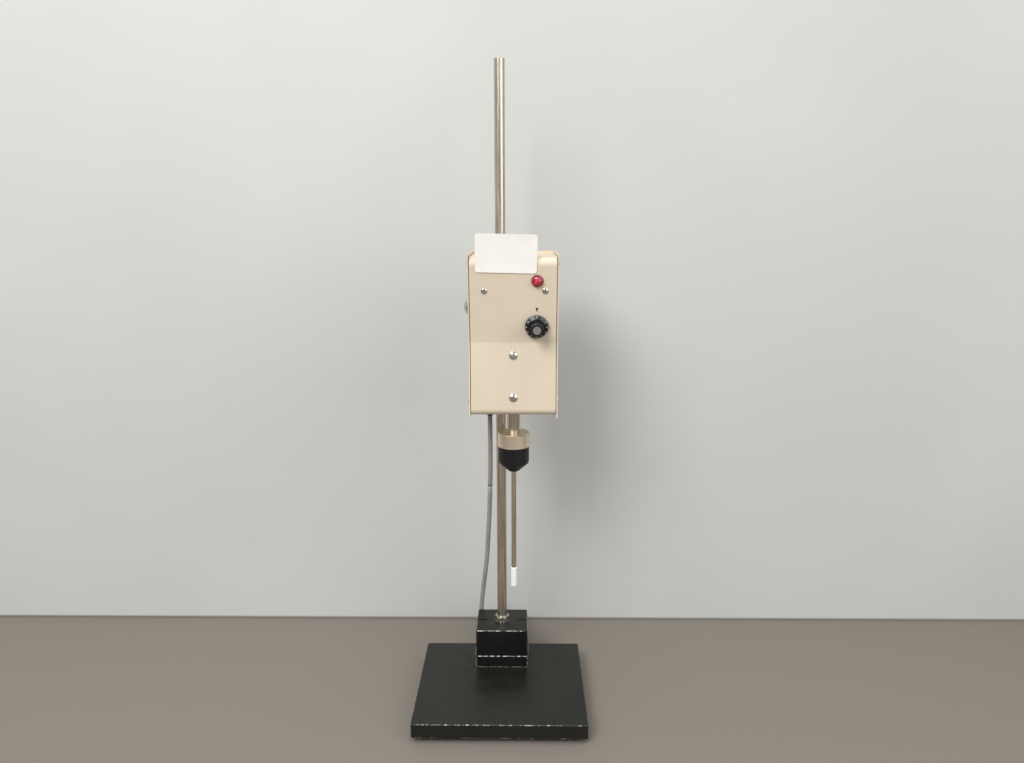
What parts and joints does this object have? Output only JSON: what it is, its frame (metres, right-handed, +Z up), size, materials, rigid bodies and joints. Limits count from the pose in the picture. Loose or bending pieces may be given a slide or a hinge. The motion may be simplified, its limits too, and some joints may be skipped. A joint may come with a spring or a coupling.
{
  "type": "overhead stirrer on rod stand",
  "caption": "Overhead stirrer with a speed knob, pilot lamp, keyless chuck and plastic-tipped pestle, on a rod stand with a heavy base plate and mains cord.",
  "frame": {"origin": "on the bench, under the middle of the base plate and everything but the cord", "axes": "+Z up along the support rod, -Y towards the user, +X to the user's right"},
  "size_m": [0.211, 0.2751, 0.7926],
  "materials": {
    "plate_enamel": "semi-gloss wrinkle enamel, dark grey-green",
    "block_enamel": "semi-gloss black enamel",
    "head_enamel": "satin beige enamel",
    "rubber": "matte",
    "zinc": "zinc plated",
    "rod_steel": "satin ground",
    "chrome": "polished",
    "satin_nickel": "satin",
    "black_oxide": "black oxide",
    "cast_aluminium": "as cast",
    "bearing_steel": "ground",
    "motor_steel": "satin",
    "copper_wound": "enamelled wire over laminations",
    "black_plastic": "satin",
    "nylon": "matte",
    "white_plastic": "smooth",
    "red_lens": "gloss, translucent",
    "board_laminate": "satin",
    "cord_jacket": "matte",
    "brass": "bright",
    "bright_aluminium": "spun",
    "spider_rubber": "matte"
  },
  "bodies": {
    "stand": {"base_plate": "plate_enamel", "base_feet": "rubber", "foot_screws": "zinc", "rod_block": "block_enamel", "block_screws": "zinc", "support_rod": "rod_steel", "rod_lock_washer": "zinc", "rod_jam_nut": "zinc", "power_cord": "cord_jacket", "cord_coil": "cord_jacket", "coil_tie": "black_plastic", "power_plug": "cord_jacket", "plug_pins": "brass"},
    "guide": {"rod_bushes": "nylon", "power_cord_upper": "cord_jacket"},
    "spindle": {"motor_armature": "copper_wound", "coupling_upper": "cast_aluminium", "coupling_spider": "spider_rubber", "coupling_lower": "cast_aluminium", "spindle_shaft": "rod_steel", "spindle_stop_ring": "zinc", "chuck_core": "bearing_steel", "chuck_collar": "satin_nickel", "pestle_shank": "rod_steel", "pestle_tip": "white_plastic"},
    "chuck_sleeve": {"chuck_sleeve": "black_oxide"},
    "jaw_1": {"chuck_jaw_1": "bearing_steel"},
    "jaw_2": {"chuck_jaw_2": "bearing_steel"},
    "jaw_3": {"chuck_jaw_3": "bearing_steel"},
    "speed_knob": {"speed_knob": "black_plastic", "speed_knob_cap": "bright_aluminium", "knob_set_screw": "zinc", "potentiometer_shaft": "bearing_steel"},
    "lock_knob": {"lock_knob": "chrome", "lock_stud": "zinc"},
    "head": {"front_chassis": "head_enamel", "rear_cover": "head_enamel", "cover_screws": "chrome", "bearing_housing": "cast_aluminium", "housing_screws": "chrome", "spindle_bearings": "bearing_steel", "motor_adapter": "cast_aluminium", "adapter_screws": "zinc", "motor_can": "motor_steel", "motor_end_cap": "black_plastic", "brush_caps": "black_plastic", "speed_potentiometer": "motor_steel", "potentiometer_nut": "zinc", "pilot_lamp_lens": "red_lens", "pilot_lamp_body": "white_plastic", "pilot_lamp_nut": "zinc", "control_board": "board_laminate", "board_heat_sink": "bright_aluminium", "board_standoffs": "nylon", "board_screws": "chrome", "rod_clamp_block": "cast_aluminium", "clamp_screws": "chrome", "cord_gland": "black_plastic"}
  },
  "joints": [
    {"name": "head_height", "type": "slide", "parent": "stand", "child": "guide", "axis": [0, 0, 1], "range_m": [-0.06, 0.215], "deforming": ["power_cord"]},
    {"name": "head_swivel", "type": "hinge", "parent": "guide", "child": "head", "pos_m": [0, 0.061, 0.45], "axis": [0, 0, 1], "range_deg": [-90, 90], "deforming": ["power_cord_upper"]},
    {"name": "spindle_spin", "type": "hinge", "parent": "head", "child": "spindle", "pos_m": [0.0164, 0.028, 0.42], "axis": [0, 0, 1], "continuous": true},
    {"name": "chuck_sleeve_turn", "type": "hinge", "parent": "spindle", "child": "chuck_sleeve", "pos_m": [0.0164, 0.028, 0.318], "axis": [0, 0, 1], "range_deg": [0, 540]},
    {"name": "jaw_1_slide", "type": "slide", "parent": "spindle", "child": "jaw_1", "axis": [0.2588, 0, 0.9659], "range_m": [0, 0.00518]},
    {"name": "jaw_2_slide", "type": "slide", "parent": "spindle", "child": "jaw_2", "axis": [-0.1294, 0.2241, 0.9659], "range_m": [0, 0.00518]},
    {"name": "jaw_3_slide", "type": "slide", "parent": "spindle", "child": "jaw_3", "axis": [-0.1294, -0.2241, 0.9659], "range_m": [0, 0.00518]},
    {"name": "speed_knob_turn", "type": "hinge", "parent": "head", "child": "speed_knob", "pos_m": [0.0437, -0.00564, 0.48753], "axis": [0, -0.9914, -0.1305], "range_deg": [-300, 0]},
    {"name": "lock_knob_turn", "type": "hinge", "parent": "head", "child": "lock_knob", "pos_m": [0, 0.061, 0.503], "axis": [-1, 0, 0], "range_deg": [-360, 0]}
  ],
  "couplings": [
    {"joint": "jaw_1_slide", "follows": "chuck_sleeve_turn", "m_per_rad": 0.00054961},
    {"joint": "jaw_2_slide", "follows": "chuck_sleeve_turn", "m_per_rad": 0.00054961},
    {"joint": "jaw_3_slide", "follows": "chuck_sleeve_turn", "m_per_rad": 0.00054961}
  ]
}
